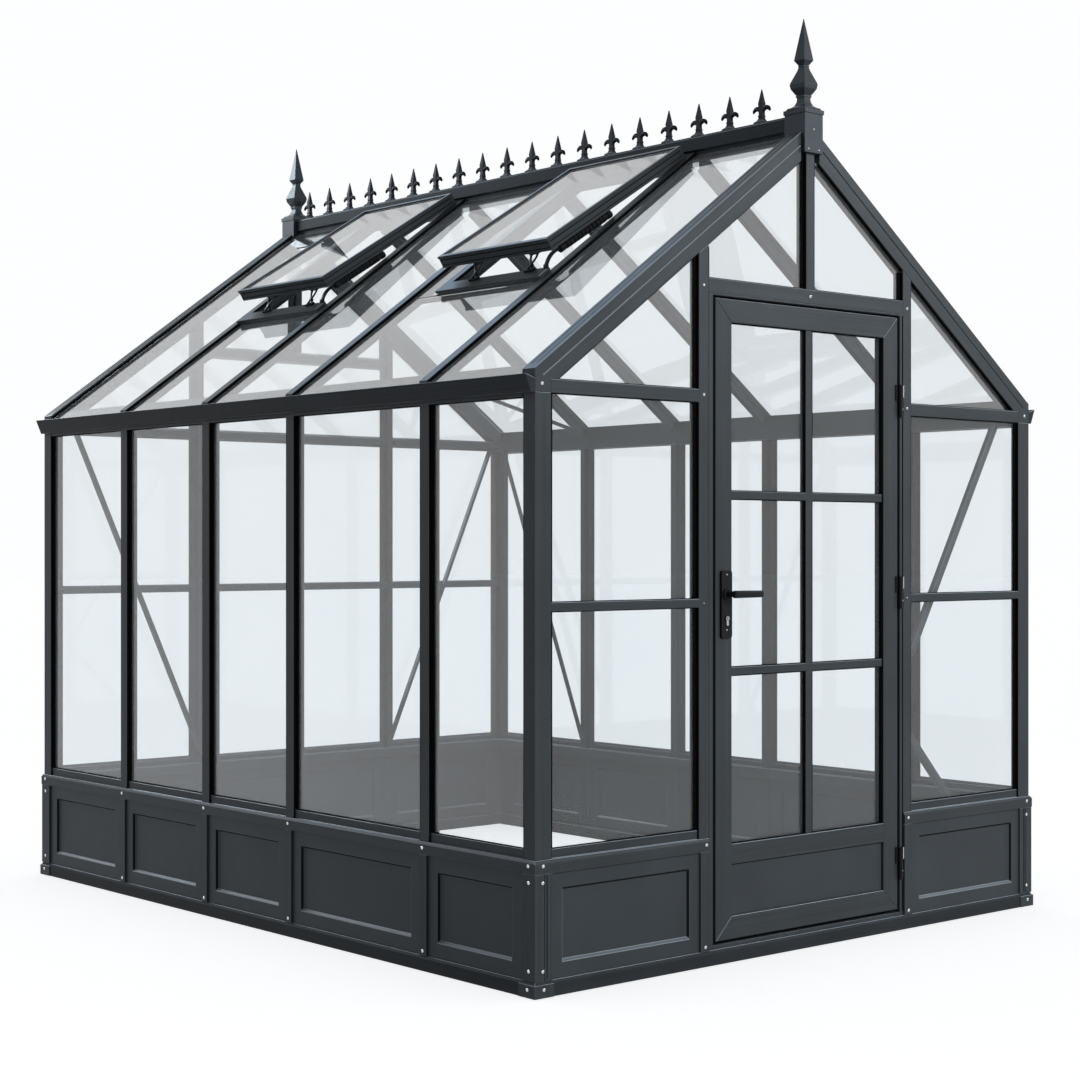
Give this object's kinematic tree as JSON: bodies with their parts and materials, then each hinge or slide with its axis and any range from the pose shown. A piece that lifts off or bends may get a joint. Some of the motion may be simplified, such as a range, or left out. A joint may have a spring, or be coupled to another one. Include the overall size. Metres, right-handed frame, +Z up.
{
  "type": "garden greenhouse",
  "caption": "Victorian-style garden greenhouse in anthracite aluminium and clear glass on a panelled dwarf wall, with a hinged gable door, ridge cresting, finials and propped roof vents.",
  "frame": {"origin": "on the ground at the middle of the footprint", "axes": "+X to the right of someone facing the door, +Y from the door gable to the rear gable, +Z up"},
  "size_m": [2.31, 2.902, 2.8648],
  "materials": {
    "frame": "satin anthracite powder coat",
    "panels": "satin anthracite powder coat",
    "cresting": "satin anthracite powder coat on cast metal",
    "hardware": "black semi-gloss",
    "glass": "clear toughened glass"
  },
  "bodies": {
    "greenhouse": {"base_rails": "frame", "corner_covers": "frame", "panel_strips": "frame", "side_base_panels": "panels", "gable_base_panels": "panels", "sill_rails": "frame", "corner_posts": "frame", "side_posts": "frame", "rear_posts": "frame", "door_posts": "frame", "king_posts": "frame", "front_rails": "frame", "rear_rails": "frame", "door_header": "frame", "eave_beams": "frame", "gutters": "frame", "front_rafters": "frame", "rear_rafters": "frame", "left_roof_bars": "frame", "right_roof_bars": "frame", "ridge_beam": "frame", "ridge_blocks": "cresting", "finials": "cresting", "ridge_cresting": "cresting", "left_wall_glass": "glass", "right_wall_glass": "glass", "front_wall_glass": "glass", "rear_wall_glass": "glass", "left_roof_glass": "glass", "right_roof_glass": "glass", "vent_curbs": "frame", "vent_sashes": "frame", "vent_glass": "glass", "vent_stays": "hardware", "vent_openers": "hardware", "wind_braces": "frame", "door_jambs": "frame", "jamb_hinges": "hardware"},
    "door": {"door_frame": "frame", "door_glass": "glass", "door_bars": "frame", "kick_panel": "panels", "leaf_hinges": "hardware", "handle_plates": "hardware"},
    "lever": {"door_lever": "hardware"}
  },
  "joints": [
    {"name": "door_hinge", "type": "hinge", "parent": "greenhouse", "child": "door", "pos_m": [0.423, -1.423, 1], "axis": [0, 0, 1], "range_deg": [0, 105]},
    {"name": "door_lever_turn", "type": "hinge", "parent": "door", "child": "lever", "pos_m": [-0.378, -1.395, 1.092], "axis": [0, 1, 0], "range_deg": [0, 40], "stiffness_Nm_per_rad": 1, "springref_deg": -28.65}
  ]
}
